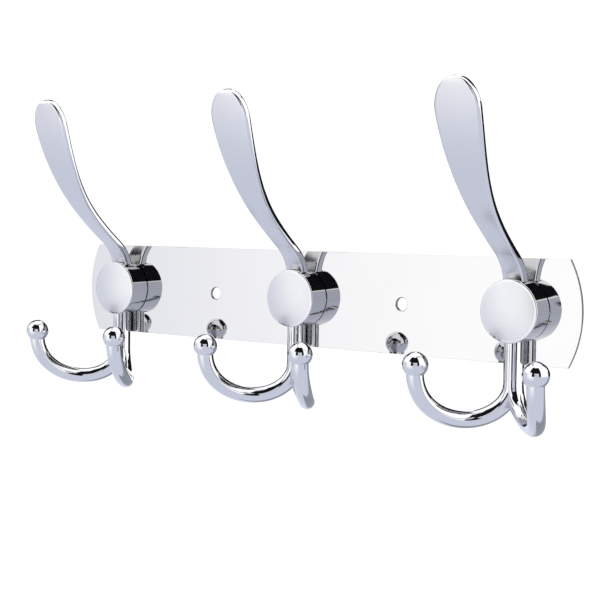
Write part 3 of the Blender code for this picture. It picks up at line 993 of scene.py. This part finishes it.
# Edges in degrees round from straight in front of the plate or in degrees up, each edge or
# pair of edges followed by its softness
TABLE_DIMS = (148.0, 10.0)
LILAC_TURN, LILAC_HEIGHT = (-95.0, -34.0, 16.0), (-20.0, 15.0, 6.0)
GLOW_LEFT, GLOW_RIGHT = (-42.0, 24.0), (8.0, 10.0)
GLOW_BOTTOM, GLOW_TOP = (-23.0, 25.0), (60.0, 14.0)
STRIP_TURN, STRIP_HEIGHT = (156.0, 1.0), (HORIZON, 48.0, 1.0)
# Degrees round, degrees up, softness, and colour
CARDS = (
    ((-6.0, 70.0), (HORIZON, 68.0), 0.8, BLACK),
    ((-26.0, 0.0), (24.0, 68.0), 0.8, BLACK),
    ((14.0, 52.0), (HORIZON, 17.8), 0.8, OPENING),
    ((14.0, 52.0), (16.8, 18.6), 0.6, WHITE),
    ((15.0, 22.0), (3.5, 10.0), 2.0, BLACK),
    ((-145.0, -96.0), (HORIZON, 48.0), 1.0, BLACK),
    ((144.0, 179.0), (HORIZON, 14.0), 1.0, BLACK),
)


FLOOR_RADIUS = 8.0
FLOOR_HEIGHT = -0.55
BACKDROP_RADIUS = 9.0
WHITE_LEVEL = 1.05
KEY_POWER = 2.0
KEY_SIZE = 0.6
KEY_PLACE = (-0.4, -0.8, 1.0)
KEY_TURN = (math.radians(40), 0, math.radians(-25))


def even_white(name):
    """The same white light all over, for the floor and the backdrop."""
    material = bpy.data.materials.new(name)
    material.use_nodes = True
    shading = Shading(material.node_tree)
    nodes = shading.tree.nodes
    nodes.remove(nodes["Principled BSDF"])
    light = shading.node("ShaderNodeEmission", {}, {"Color": (1.0, 1.0, 1.0, 1.0),
                                                    "Strength": WHITE_LEVEL})
    shading.feed(nodes["Material Output"].inputs["Surface"], light)
    return material


class HOOKRACK_OT_studio(bpy.types.Operator):
    """Builds the camera, the pale floor, the soft light and the cards that the chrome reflects"""

    bl_idname = "hookrack.studio"
    bl_label = "Studio"

    def execute(self, context):
        self.camera(context)
        self.floor()
        self.backdrop()
        self.world(context)
        self.light()
        return {"FINISHED"}

    def camera(self, context):
        yaw, pitch, roll = CAMERA_YAW, CAMERA_PITCH, CAMERA_ROLL
        ahead = Vector((-math.sin(yaw) * math.cos(pitch), math.cos(yaw) * math.cos(pitch),
                        math.sin(pitch)))
        right = ahead.cross(Vector((0, 0, 1))).normalized()
        up = right.cross(ahead)
        right, up = (right * math.cos(roll) + up * math.sin(roll),
                     up * math.cos(roll) - right * math.sin(roll))
        data = bpy.data.cameras.new("rack_camera")
        data.lens = CAMERA_LENS
        data.sensor_width = 36.0
        data.clip_start = 0.01
        data.clip_end = 50.0
        camera = bpy.data.objects.new("rack_camera", data)
        context.scene.collection.objects.link(camera)
        camera.matrix_world = Matrix.Translation(CAMERA_PLACE) @ Matrix(
            (right, up, -ahead)).transposed().to_4x4()
        context.scene.camera = camera

    def floor(self):
        select_only()
        bpy.ops.mesh.primitive_circle_add(vertices=96, radius=FLOOR_RADIUS, fill_type="NGON",
                                          location=(0, 0, FLOOR_HEIGHT))
        floor = settle(bpy.context.object)
        floor.name = "pale_floor"
        floor.data.materials.append(even_white("floor_white"))
        floor.visible_glossy = False

    def world(self, context):
        """What the chrome reflects: a white room over a lavender table, with a lilac patch
        at the left, a broad glow in front, black cards, a lighter opening with a white line
        over it in the front card, and a black strip behind the plate."""
        world = bpy.data.worlds.new("studio_room")
        world.use_nodes = True
        room = Shading(world.node_tree)
        towards = room.node("ShaderNodeTexCoord", {}, {}, "Generated")
        x, y, z = (room.along(axis, towards) for axis in "XYZ")
        to_degrees = math.degrees(1.0)
        turn = x.math("ARCTAN2", x, 0 - y) * to_degrees
        height = z.math("ARCSINE", z) * to_degrees
        behind = turn.math("ABSOLUTE", turn)
        table = room.between(behind.above(*TABLE_DIMS), TABLE, TABLE_BEHIND)
        colour = room.between(height.above(HORIZON, ROOM_EDGE), table, WHITE)
        lilac = turn.within(*LILAC_TURN) * height.within(*LILAC_HEIGHT)
        colour = room.between(lilac, colour, LILAC)
        broad = turn.above(*GLOW_LEFT) * (1 - turn.above(*GLOW_RIGHT))
        broad = broad * height.above(*GLOW_BOTTOM) * (1 - height.above(*GLOW_TOP))
        colour = room.between(broad, colour, GLOW)
        for (left, right), (low, high), soft, tone in CARDS:
            card = turn.within(left, right, soft) * height.within(low, high, soft)
            colour = room.between(card, colour, tone)
        strip = behind.above(*STRIP_TURN) * height.within(*STRIP_HEIGHT)
        colour = room.between(strip, colour, BLACK)
        background = world.node_tree.nodes["Background"]
        room.feed(background.inputs["Color"], colour)
        context.scene.world = world
        context.scene.view_settings.view_transform = "Standard"

    def backdrop(self):
        """The plain white room as the camera sees it, which nothing reflects."""
        select_only()
        bpy.ops.mesh.primitive_uv_sphere_add(segments=48, ring_count=24, radius=BACKDROP_RADIUS)
        shell = bpy.context.object
        shell.name = "white_backdrop"
        shell.data.materials.append(even_white("backdrop_white"))
        for seen_by in ("glossy", "diffuse", "transmission", "volume_scatter", "shadow"):
            setattr(shell, f"visible_{seen_by}", False)

    def light(self):
        data = bpy.data.lights.new("soft_key", "AREA")
        data.energy = KEY_POWER
        data.size = KEY_SIZE
        light = bpy.data.objects.new("soft_key", data)
        bpy.context.scene.collection.objects.link(light)
        light.location = KEY_PLACE
        light.rotation_euler = KEY_TURN
        light.visible_glossy = False


# ------------------------------------------------------------ panel and running order

class HOOKRACK_PT_panel(bpy.types.Panel):
    """Lists the operators of the rack and its studio, and their sizes and colours"""

    bl_idname = "HOOKRACK_PT_panel"
    bl_label = "Wall Hook Rack"
    bl_space_type = "VIEW_3D"
    bl_region_type = "UI"
    bl_category = "Hook Rack"

    def draw(self, context):
        for maker in MAKERS:
            self.layout.operator(maker.bl_idname)
        for name in SETTINGS:
            group = getattr(context.scene, name)
            column = self.layout.column(align=True)
            for key in group.bl_rna.properties.keys():
                if key not in ("rna_type", "name"):
                    column.prop(group, key)


MAKERS = (HOOKRACK_OT_plate, HOOKRACK_OT_covers, HOOKRACK_OT_arms, HOOKRACK_OT_prongs,
          HOOKRACK_OT_screws, HOOKRACK_OT_studio)
SETTINGS = {
    "hook_rack_plate": PlateSettings,
    "hook_rack_covers": CoverSettings,
    "hook_rack_arms": ArmSettings,
    "hook_rack_prongs": ProngSettings,
    "hook_rack_finish": FinishSettings,
}
CLASSES = (*SETTINGS.values(), *MAKERS, HOOKRACK_PT_panel)


def register():
    for cls in CLASSES:
        bpy.utils.register_class(cls)
    for name, group in SETTINGS.items():
        setattr(bpy.types.Scene, name, bpy.props.PointerProperty(type=group))


def unregister():
    for name in SETTINGS:
        delattr(bpy.types.Scene, name)
    for cls in reversed(CLASSES):
        bpy.utils.unregister_class(cls)


def main():
    register()
    bpy.ops.hookrack.plate()
    bpy.ops.hookrack.covers()
    bpy.ops.hookrack.arms()
    bpy.ops.hookrack.prongs()
    bpy.ops.hookrack.screws()
    bpy.ops.hookrack.studio()


if __name__ == "__main__":
    main()
